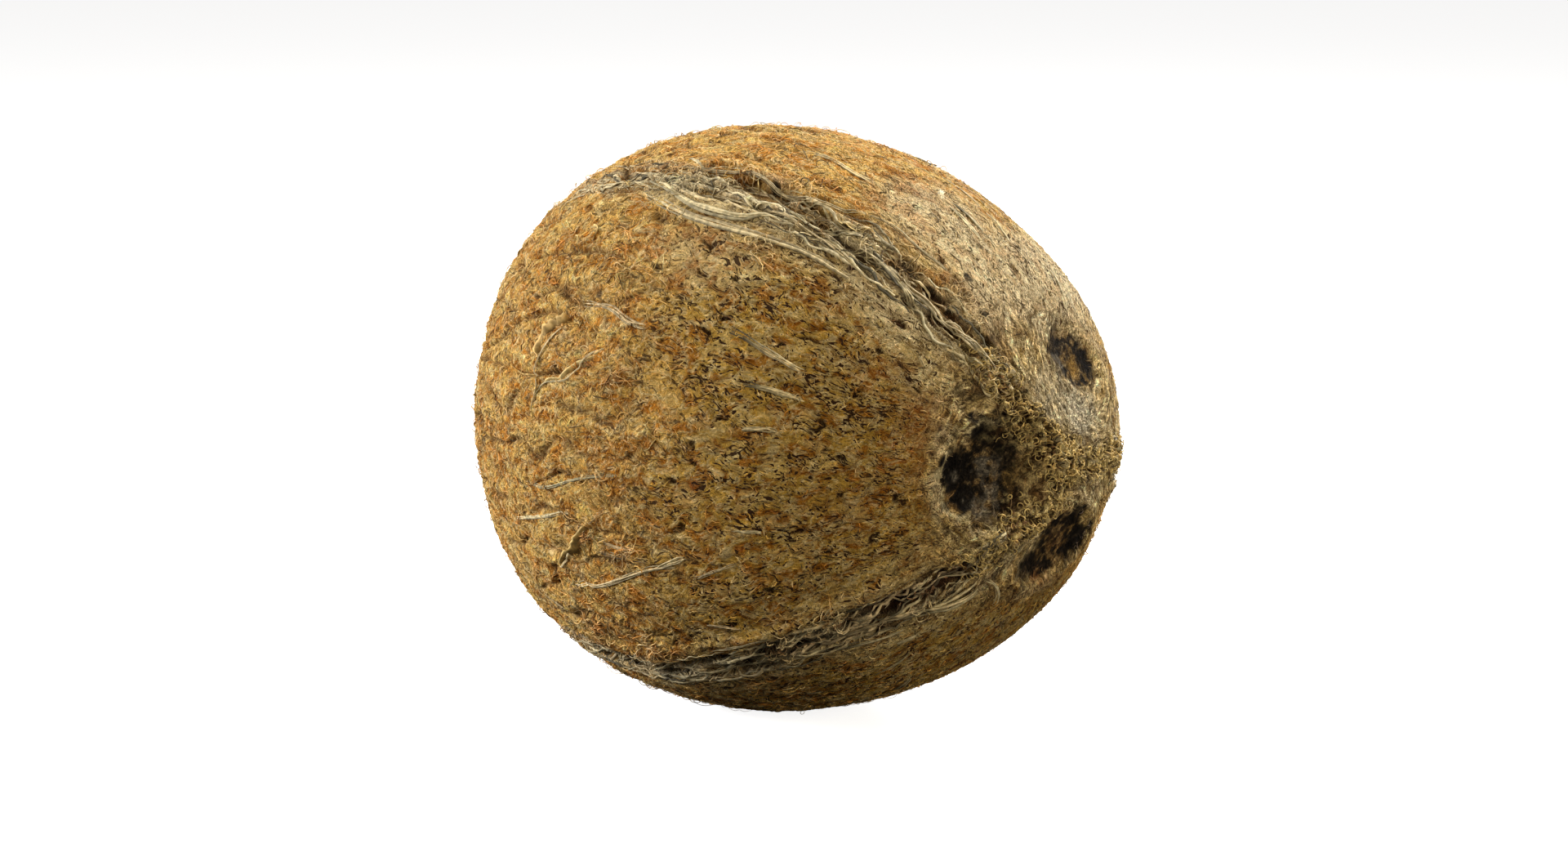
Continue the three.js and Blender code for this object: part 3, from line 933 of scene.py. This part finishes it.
def in_the_eyes(aim):
    """Whether unit vectors are inside an eye hollow."""
    return np.min([from_spot(aim, *eye[:4]) for eye in (EYES[0], EYES[1], EYES[3])], 0) < 0.95


def arch(steps):
    """Half a sine wave: 0 at both ends of a path and 1 in its middle."""
    return np.sin(np.linspace(0, np.pi, steps))


steps = 5
start = scattered(MAT_FIBRES)
start = start[~in_the_eyes(start)]
path = walk(start, bearings(start, steps, 42, 40), rng.uniform(0.8, 2.8, len(start)) / (steps - 1))
path = path[clear_of_the_table(path)]
count = len(path)
lift = -0.05 + arch(steps) * (0.22 + 0.30 * rng.uniform(0, 1, count) ** 2)[:, None]
width = rng.uniform(0.10, 0.21, count)[:, None] * (0.35 + 0.65 * arch(steps))
tone = toned(FIBRE_TONES, FIBRE_SHARES, count, 0.15)
eye_half, front = path[:, 0, 0] > 0, path[:, 0, 1] < 0
for end, at_end in (("eye", eye_half), ("blunt", ~eye_half)):
    for side, at_side in (("front", front), ("back", ~front)):
        these = at_end & at_side
        add_fibres(f"mat_{end}_half_{side}", path[these], lift[these], width[these], tone[these])

# The frizz.
# Where the outer husk was torn off hardest, at the blunt end and along the top, longer fibres have come
# loose. They curl up off the felt in loops and hooks and catch the light.

FRIZZ_FIBRES = 5600
FRIZZ_SHARES = [0.45, 0.3, 0.15, 0.1]  # how many fibres have each of the frizz's four tones
STEPS = 9  # points along each loose fibre


def loose_paths(start, curl, spread, shortest, longest):
    """Paths from these starts that curl hard: bearings with an even turn added, which is the curl in
    degrees times a normal random number, over a random length in mm."""
    turn = rng.normal(size=len(start)) * curl
    bearing = bearings(start, STEPS, spread, 10) + turn[:, None] * np.linspace(-1, 1, STEPS)
    path = walk(start, bearing, rng.uniform(shortest, longest, len(start)) / (STEPS - 1))
    return path[clear_of_the_table(path)]


start = scattered(FRIZZ_FIBRES * 4)
chosen = (frizz(start) > rng.uniform(0.15, 1.2, len(start))) & ~in_the_eyes(start)
path = loose_paths(start[chosen][:FRIZZ_FIBRES], 105, 50, 1.8, 6.0)
count = len(path)
lift = arch(STEPS) * (0.25 + 0.85 * rng.uniform(0, 1, count) ** 3)[:, None]
width = rng.uniform(0.12, 0.26, count)[:, None] * (0.4 + 0.6 * arch(STEPS))
tone = toned([1.8, 1.35, 0.8, 0.3], FRIZZ_SHARES, count)
half = count // 2
add_fibres("frizz_first_half", path[:half], lift[:half], width[:half], tone[:half])
add_fibres("frizz_second_half", path[half:], lift[half:], width[half:], tone[half:])

# Tufts of the same loose fibre: latitude, roll, how far the tuft spreads in degrees, and how many fibres.
TUFTS = [
    (-5.5, 30, 2.2, 60), (0.2, 31, 2.0, 50), (7.5, 27, 2.4, 40), (20, 24.5, 3.0, 45), (25.5, 33.5, 1.6, 30),
    (34, 30, 1.8, 40), (41, 29, 2.0, 40), (51, 23.5, 2.2, 45), (57, 27.5, 2.0, 40), (68, 39, 3.0, 60),
    (20, 44, 2.0, 35), (3, 75, 1.6, 35), (0, 55, 1.4, 25), (-2, 105, 2.0, 35), (5, 109, 1.8, 25),
    (-9, 129, 3.0, 60), (3, 132, 3.0, 60), (25, 135.5, 2.2, 60), (36, 131, 2.0, 40), (52, 139.5, 2.5, 50),
    (72, 140, 3.0, 50), (66, 41, 2.5, 40),
]
latitude, roll, reach, number = np.array(TUFTS).T
number = number.astype(int)
spots = np.repeat(direction(latitude, roll), number, 0)
start = spots + np.radians(np.repeat(reach, number))[:, None] * rng.normal(size=spots.shape) * 0.6
path = loose_paths(start / np.linalg.norm(start, axis=1, keepdims=True), 95, 55, 1.5, 5.5)
count = len(path)
lift = 0.1 + arch(STEPS) * (0.3 + 0.9 * rng.uniform(0, 1, count) ** 2)[:, None]
width = rng.uniform(0.12, 0.30, count)[:, None] * (0.4 + 0.6 * arch(STEPS))
tone = toned([2.0, 1.5, 0.9, 0.3], FRIZZ_SHARES, count)
add_fibres("loose_tufts", path, lift, width, tone, ash=0.35)

# The curled ends.
# On the ridges between the eyes, and where they meet, the strands of coir come to their ends. They are
# broken off short there and have curled up into small pale rings and hooks.

CURLED_ENDS = 1300

start = scattered(CURLED_ENDS * 60)
start = start[start[:, 0] > 0.8]
start = start[crumbled(start) > rng.uniform(0.25, 1.0, len(start))][:CURLED_ENDS]
count = len(start)
curl = rng.choice([-1, 1], count) * rng.uniform(60, 190, count)
bearing = rng.uniform(0, 360, (count, 1)) + curl[:, None] * np.linspace(-1, 1, STEPS)
path = walk(start, bearing, rng.uniform(1.3, 3.4, count) / (STEPS - 1))
lift = 0.05 + arch(STEPS) * rng.uniform(0.2, 0.6, (count, 1)) + rng.uniform(0.0, 0.25, (count, 1))
width = rng.uniform(0.18, 0.36, count)[:, None] * (0.5 + 0.5 * arch(STEPS))
tone = toned([1.5, 1.05, 0.6, 0.2], [0.4, 0.3, 0.15, 0.15], count)
add_fibres("curled_ends", path, lift, width, tone, ash=0.9, least=1.0, fair=GOLD)

# The torn lips.
# Here and there a flake of felt at the blunt end was pulled up but not off. It stands up as a thin curled
# lip with a ragged edge, and its shadow lies behind it.

# Each lip as (latitude, roll) points, its height in mm and how far it leans over, in mm.
LIPS = [
    ([(-14.5, 73.5), (-14.5, 70.5), (-13, 68), (-10, 66.2), (-9, 65)], 2.0, 1.6),
    ([(-14, 80), (-11, 77.5), (-8, 77), (-5, 74), (-2, 72.5), (1, 69)], 1.0, 0.9),
    ([(-11, 114), (-8, 111), (-5.5, 110), (-3.5, 106.5), (-1, 103)], 1.8, 1.4),
    ([(-24, 75), (-19, 77), (-14, 76.5)], 0.8, 0.5),
    ([(33.5, 27.5), (31, 28.7), (28, 28.5)], 1.4, 1.2),
]
SMALL_LIPS = 70

# A lip's section: how far up it each of the eight points lies, as a share, and how far to the side, in mm.
LIP_SECTION = [(0, 0.13), (0.35, 0.09), (0.7, 0.06), (0.93, 0.04), (1.0, 0), (0.86, -0.04), (0.62, -0.06),
               (0.3, -0.09)]


def smooth_path(places, steps):
    """Unit vectors along a smooth line through (latitude, roll) points: between two points, the line blends
    the parabola through the point before with the one through the point after."""
    knots = direction(*np.array(places, float).T)
    knots = np.concatenate([2 * knots[:1] - knots[1:2], knots, 2 * knots[-1:] - knots[-2:-1]])
    way = np.linspace(0, len(places) - 1, steps)
    first = np.minimum(way.astype(int), len(places) - 2)
    t = (way - first)[:, None]
    a, b, c, d = (knots[first + i] for i in range(4))
    line = b + t / 2 * (c - a + t * (2 * a - 5 * b + 4 * c - d + t * (3 * (b - c) + d - a)))
    return line / np.linalg.norm(line, axis=-1, keepdims=True)


def add_lips(name, path, height, lean):
    """Thin lips along paths of unit vectors: the section is a closed loop of eight points that goes up one
    face to the edge and down the other, thinner towards the edge, leaning and curling over to one side."""
    steps = path.shape[1]
    points, outward = on_the_nut(path, np.full(path.shape[:2], -0.35))
    across, up = axes_along(points, outward)
    level, side = np.array(LIP_SECTION).T
    ragged = 0.8 + 0.7 * rough(path * MEAN_RADIUS / 1.4, 3, 171)
    tall = (height[:, None] * arch(steps) ** 0.6 * ragged + 0.3)[:, 1:-1, None]
    over = lean[:, None, None] * level**2 * (arch(steps)[1:-1, None] ** 0.5)
    rings = points[:, 1:-1, None] + up[:, 1:-1, None] * (tall * level)[..., None]
    rings = rings + across[:, 1:-1, None] * (side + over)[..., None]
    points, triangles = joined_rings(rings, points[:, [0, -1]])
    tint = fibre_tint(path, np.full(path.shape[:2], 0.95), 0.85, 1.0, GOLD)
    # Painted shade towards each lip's foot, where it meets the felt, and paler towards its edge.
    paler = tint[:, 1:-1, None] * (0.5 + 0.8 * level**2)[:, None] * (0.8 + 0.4 * ragged[:, 1:-1, None, None])
    tint = np.concatenate([paler.reshape(len(path), -1, 3), tint[:, [0, -1]]], 1).reshape(-1, 3)
    return add_mesh(name, points, triangles, {"tint": np.clip(tint, 0.004, 0.85)}, COIR)


path = np.stack([smooth_path(places, 26) for places, _, _ in LIPS])
add_lips("torn_lips", path, np.array([tall for _, tall, _ in LIPS]), np.array([lean for _, _, lean in LIPS]))
start = scattered(SMALL_LIPS * 8)
start = start[(frizz(start) > 0.7) & (start[:, 2] > -0.6)][:SMALL_LIPS]
path = walk(start, bearings(start, 14, 35, 35), rng.uniform(2.0, 6.5, len(start)) / 13)
path = path[clear_of_the_table(path)]
add_lips("small_torn_lips", path, rng.uniform(0.3, 0.9, len(path)), rng.uniform(-0.6, 0.6, len(path)))

# The suture strands.
# Along each suture the coir is left in long flat strands, side by side and over one another, grey and
# weathered, with dark gaps between them. They were the seams of the outer husk's three sides.

SUTURE_STRANDS = [130, 150, 90]


def suture_strands(line, count, spread):
    """Paths beside a suture: each strand keeps its own distance from the line but for a slow wander, and
    covers its own stretch of it."""
    steps = 22
    begin = rng.uniform(-35, 66, count)
    latitude = begin[:, None] + rng.uniform(5, 26, count)[:, None] * np.linspace(0, 1, steps)
    latitude = np.minimum(latitude, 71)
    offset = spread * np.clip(rng.normal(size=(count, 1)), -1.5, 1.25)
    lanes = np.stack(np.broadcast_arrays(latitude / 8, offset / 2, rng.uniform(0, 9, (count, 1))), -1)
    aside = (offset + 1.7 * rough(lanes, 3, 151)) * (1 - 0.4 * ease(latitude, 50, 75))
    roll = np.interp(latitude, *zip(*line)) + np.degrees(aside / (WIDTH / 2 * np.cos(np.radians(latitude))))
    return direction(latitude, roll)


for name, line, count in zip(("upper", "lower", "rear"), SUTURES, SUTURE_STRANDS):
    path = suture_strands(line, count, 2.9 if name == "upper" else 2.4)
    steps = path.shape[1]
    wave = noise(np.stack([np.linspace(0, 5, steps) + rng.uniform(0, 99, (count, 1))] * 3, -1), 157)
    lift = -0.25 + arch(steps) ** 0.5 * (0.25 + 0.45 * rng.uniform(0, 1, count)[:, None] + 0.35 * wave)
    width = (rng.uniform(0.45, 0.95, count) ** 2)[:, None] * (0.3 + 0.7 * arch(steps))
    tone = toned([1.5, 1.1, 0.6, 0.22], [0.37, 0.29, 0.16, 0.18], count)
    add_fibres(f"suture_strands_{name}", path, lift, width, tone, 5, 0.45, 0.8, 0.95)

# The long strands.
# Some strands of the outer husk's coir are still stuck to the nut one by one: broad pale ones in the sutures,
# and single ones pressed into the felt, often dark where they come out of it and bleached at the loose end.

# Each strand as (latitude, roll) points, its width and its rise in mm, and its tone at its start and its
# end.
LONG_STRANDS = [
    ([(39.5, 31.5), (43, 33), (46, 34.5), (49, 34.5), (53, 36), (56, 36), (60, 36), (65, 38), (68, 40)],
     1.1, 0.9, 1.5, 1.6),
    ([(32, 35), (36, 33), (40, 33), (43, 34), (47, 37), (49, 38)], 0.9, 0.7, 1.4, 1.5),
    ([(20.5, 32), (27.5, 33), (33, 30), (35, 27)], 0.9, 0.7, 1.5, 1.2),
    ([(-15, 32), (-5, 34), (6, 38), (14, 38), (19, 35), (24, 34.5)], 1.6, 0.45, 1.5, 1.3),
    ([(-8, 36), (2, 40), (12, 41), (22, 40.5), (30, 40), (38, 40.5)], 1.4, 0.35, 1.5, 1.4),
    ([(-10, 28.8), (2, 28.8), (11, 27.5), (18, 28.5), (27, 26.5), (32, 21.8)], 0.5, 0.7, 1.2, 1.5),
    ([(31, 22.5), (36, 21.4), (41, 21.8), (48, 20.2)], 0.5, 0.7, 1.4, 1.2),
    ([(6, 34), (14, 34.5), (20, 33.8), (27, 35), (33, 36.5), (40, 38.5)], 0.7, 0.6, 1.3, 1.5),
    ([(57, 38), (61, 40.5), (64, 40), (68, 42)], 0.7, 0.5, 1.3, 1.5),
    ([(58, 33), (61, 36.5), (65, 36.0), (69, 39)], 0.6, 0.6, 1.4, 1.3),
    ([(50.5, 140.5), (54, 143), (57, 146), (60, 150)], 1.1, 1.6, 2.2, 2.4),
    ([(49, 140), (53, 141.5), (57, 144), (61, 147)], 0.8, 1.3, 2.0, 2.4),
    ([(46, 139.5), (51, 141.5), (56, 142.5), (61, 143.5)], 0.5, 0.6, 1.2, 1.7),
    ([(13, 135.8), (17, 135), (20.5, 134.5), (24, 134)], 0.7, 0.6, 1.2, 1.6),
    ([(62, 148), (62.5, 152), (61.5, 157), (59.5, 161), (57.5, 164.5)], 0.4, 1.8, 2.2, 2.2),
    ([(13, 132), (20, 130.5), (27, 130)], 0.5, 0.4, 1.3, 1.3),
    ([(30, 134), (38, 136), (46, 138), (54, 141)], 0.6, 0.6, 1.1, 1.5),
    ([(0, 139), (10, 138.5), (20, 137.5), (30, 136.5), (40, 137)], 0.6, 0.5, 1.1, 1.3),
    ([(-16, 85), (-14, 79), (-15, 75), (-12.5, 69.5), (-9.5, 66)], 0.35, 0.6, 1.6, 2.0),
    ([(-15, 83), (-12.5, 78), (-6.5, 76.5), (-3, 72), (1, 69.5)], 0.35, 0.5, 1.6, 2.0),
    ([(-13, 115), (-10, 113.5), (-6.5, 109), (-1, 103)], 0.35, 0.6, 1.6, 2.0),
    ([(-8, 61.5), (-1, 62), (4, 64), (8, 64.5)], 1.1, 0.4, 1.5, 1.9),
    ([(21, 61), (27.5, 63.5), (32, 65), (36.5, 66.5)], 1.0, 0.4, 0.35, 1.9),
    ([(26, 72), (31, 72), (37.5, 73.5)], 0.9, 0.4, 0.35, 1.9),
    ([(27, 81.5), (30, 81), (33.5, 81)], 0.7, 0.4, 1.2, 1.7),
    ([(-11.5, 119), (-6, 117), (-1, 116), (9, 112), (15.5, 111)], 0.9, 0.4, 1.8, 1.3),
    ([(17, 114), (21, 112.5), (25.5, 111)], 0.6, 0.4, 1.6, 1.4),
    ([(-20, 98), (-11.5, 98), (-3, 95), (7, 93)], 0.6, 0.35, 1.7, 1.2),
    ([(-25.5, 108), (-13, 104), (-4, 101.5)], 0.6, 0.35, 1.7, 1.2),
    ([(11, 13), (15.5, 12), (23, 12.5), (27, 11)], 0.9, 0.45, 1.3, 1.6),
    ([(33.5, 358), (38, 357), (42, 356)], 0.8, 0.4, 0.35, 1.2),
]
STRAND_STEPS, STRAY_STEPS = 26, 14  # points along each long strand, and along each stray one
STRAY_STRANDS = 70
SPLIT_TONES = [0.6, 1.2, 1.1, 0.8]  # the tones of the thinner strands that each one has split into
SPLITS = len(SPLIT_TONES)


def split_strands(path, width):
    """Each path as several beside one another: moved across by an even share of the width and by slow
    noise, which grows towards the ends, where the strand frays."""
    share = np.repeat((np.arange(SPLITS) / (SPLITS - 1) - 0.5)[None], len(path), 0).ravel()
    path, width = np.repeat(path, SPLITS, 0), np.repeat(width, SPLITS, 0)
    ahead = np.gradient(path, axis=1)
    across = np.cross(path, ahead)
    across /= np.linalg.norm(across, axis=-1, keepdims=True) + 1e-12
    number = np.arange(len(path))[:, None]
    way = np.linspace(0, 1, path.shape[1])
    waver = noise(np.stack(np.broadcast_arrays(3.5 * way, 1.7 * number, 0.0 * number), -1), 161)
    aside = width * (0.75 * share[:, None] + 0.45 * waver * (0.6 + np.abs(2 * way - 1)))
    path = path + across * (aside / MEAN_RADIUS)[..., None]
    return path / np.linalg.norm(path, axis=-1, keepdims=True)


def add_strands(name, path, width, rise, tone):
    """A piece of split strands that rise quickly from the felt at both ends and lie on it in between."""
    steps = path.shape[1]
    path = split_strands(path, width)
    rise, width, tone = (np.repeat(values, SPLITS, 0) for values in (rise, width, tone))
    uneven = rng.uniform(0.7, 1.3, (len(path), 1))
    lift = -0.2 + arch(steps) ** 0.4 * (rise * uneven + 0.1)
    width = 0.42 * width * rng.uniform(0.6, 1.2, (len(path), 1)) * (0.3 + 0.7 * arch(steps) ** 0.5)
    tone = tone * np.resize(SPLIT_TONES, (len(path), 1))
    add_fibres(name, path, lift, width, tone, 5, 0.6, 0.85, 0.8)


path = np.stack([smooth_path(places, STRAND_STEPS) for places, *_ in LONG_STRANDS])
broad, rise, first, last = np.array([sizes for _, *sizes in LONG_STRANDS]).T[:, :, None]
tone = first + (last - first) * ease(np.linspace(0, 1, STRAND_STEPS), 0.15, 0.6)
add_strands("long_strands", path, broad, rise, tone)

start = scattered(STRAY_STRANDS * 3)
start = start[(np.abs(start[:, 0]) < 0.75) & ((start[:, 1] > 0) | (start[:, 2] < -0.2))][:STRAY_STRANDS]
bearing = 20 * rng.normal(size=(len(start), 1)) + np.cumsum(4 * rng.normal(size=(len(start), STRAY_STEPS)), 1)
path = walk(start, bearing, rng.uniform(5, 14, len(start)) / (STRAY_STEPS - 1))
path = path[clear_of_the_table(path)]
count = len(path)
tone = rng.choice([0.4, 1.2], (count, 1)) + 0.9 * ease(np.linspace(0, 1, STRAY_STEPS), 0.1, 0.6)
add_strands("stray_strands", path, rng.uniform(0.5, 1.0, (count, 1)), rng.uniform(0.2, 0.4, (count, 1)), tone)

# The stage.
# A pale floor in a pale room, with soft studio lamps all round, and the camera low down to the right of the
# front. The floor looks white but throws little light back up, so that the nut's underside stays dark.

CAMERA_TURN, CAMERA_RISE, CAMERA_AWAY = 43.35, 8.95, 0.8  # degrees, degrees, metres
AIM_LEFT, AIM_DOWN = 3.3, 1.7  # mm from the middle of the nut's box to where the camera looks
FLOOR_HALF = 8.0  # metres
FLOOR_AS_SEEN, FLOOR_AS_LIT = (0.93, 0.93, 0.93, 1), (0.05, 0.05, 0.05, 1)
FLOOR_GLOW = 0.85
ROOM_AS_SEEN, ROOM_AS_LIT = (1.0, 1.0, 1.0, 1), (0.06, 0.055, 0.05, 1)


def back_from(turn, rise):
    """The unit vector from the nut towards a lamp or camera: turned from the front towards +X, then
    raised."""
    a, e = np.radians(turn), np.radians(rise)
    return np.array([np.sin(a) * np.cos(e), -np.cos(a) * np.cos(e), np.sin(e)])


def facing(thing, place, target):
    """Puts a lamp or camera at a place, looking at a target."""
    thing.location = Vector(place)
    thing.rotation_euler = (Vector(target) - Vector(place)).to_track_quat("-Z", "Y").to_euler()
    bpy.context.scene.collection.objects.link(thing)


centre = (box_low + box_high) / 2 * MM
back = back_from(CAMERA_TURN, CAMERA_RISE)
right = np.array([np.cos(np.radians(CAMERA_TURN)), np.sin(np.radians(CAMERA_TURN)), 0])
target = centre - right * AIM_LEFT * MM - np.cross(back, right) * AIM_DOWN * MM
camera = bpy.data.objects.new("camera", bpy.data.cameras.new("camera"))
camera.data.lens = 100
camera.data.clip_end = 50
facing(camera, target + back * CAMERA_AWAY, target)
bpy.context.scene.camera = camera

WARM, NEUTRAL = (1.0, 0.88, 0.66), (1.0, 1.0, 1.0)
LAMPS_AWAY = 0.9  # metres

# Each lamp: its turn from the camera's side and its rise in degrees, its size in metres, its watts and its
# colour.
LAMPS = {
    "left_softbox": (-100, 9, 0.45, 11.0, NEUTRAL),
    "left_fill": (-50, 35, 0.5, 3.0, WARM),
    "right_fill": (50, 9, 0.5, 4.6, WARM),
    "right_softbox": (110, 50, 0.4, 10.0, NEUTRAL),
    "high_softbox": (-135, 65, 0.4, 1.2, NEUTRAL),
    "rim": (160, 14, 0.3, 8.5, NEUTRAL),
}
for name, (turn, rise, size, power, colour) in LAMPS.items():
    lamp = bpy.data.objects.new(name, bpy.data.lights.new(name, "AREA"))
    lamp.data.shape = "DISK"
    lamp.data.size = size
    lamp.data.energy = power
    lamp.data.color = colour
    facing(lamp, centre + back_from(CAMERA_TURN + turn, rise) * LAMPS_AWAY, centre)

corners = [(x * FLOOR_HALF, y * FLOOR_HALF, 0) for x, y in ((-1, -1), (1, -1), (1, 1), (-1, 1))]
floor_mesh = bpy.data.meshes.new("floor")
floor_mesh.from_pydata(corners, [], [(0, 1, 2, 3)])
floor = bpy.data.objects.new("floor", floor_mesh)
bpy.context.scene.collection.objects.link(floor)
pale, tree, shader = new_material("pale floor")
seen = add_node(tree, "LightPath").outputs["Is Camera Ray"]
lit = mixed(tree, seen, FLOOR_AS_LIT, FLOOR_AS_SEEN)
tree.links.new(lit, shader.inputs["Base Color"])
shader.inputs["Roughness"].default_value = 1.0
shader.inputs["Specular IOR Level"].default_value = 0.0
shader.inputs["Emission Color"].default_value = (1, 1, 1, 1)
tree.links.new(maths(tree, "MULTIPLY", seen, FLOOR_GLOW), shader.inputs["Emission Strength"])
floor_mesh.materials.append(pale)

world = bpy.data.worlds.new("room")
world.use_nodes = True
room = world.node_tree
seen = add_node(room, "LightPath").outputs["Is Camera Ray"]
room.links.new(mixed(room, seen, ROOM_AS_LIT, ROOM_AS_SEEN), room.nodes["Background"].inputs[0])
bpy.context.scene.world = world
bpy.context.scene.view_settings.view_transform = "Standard"
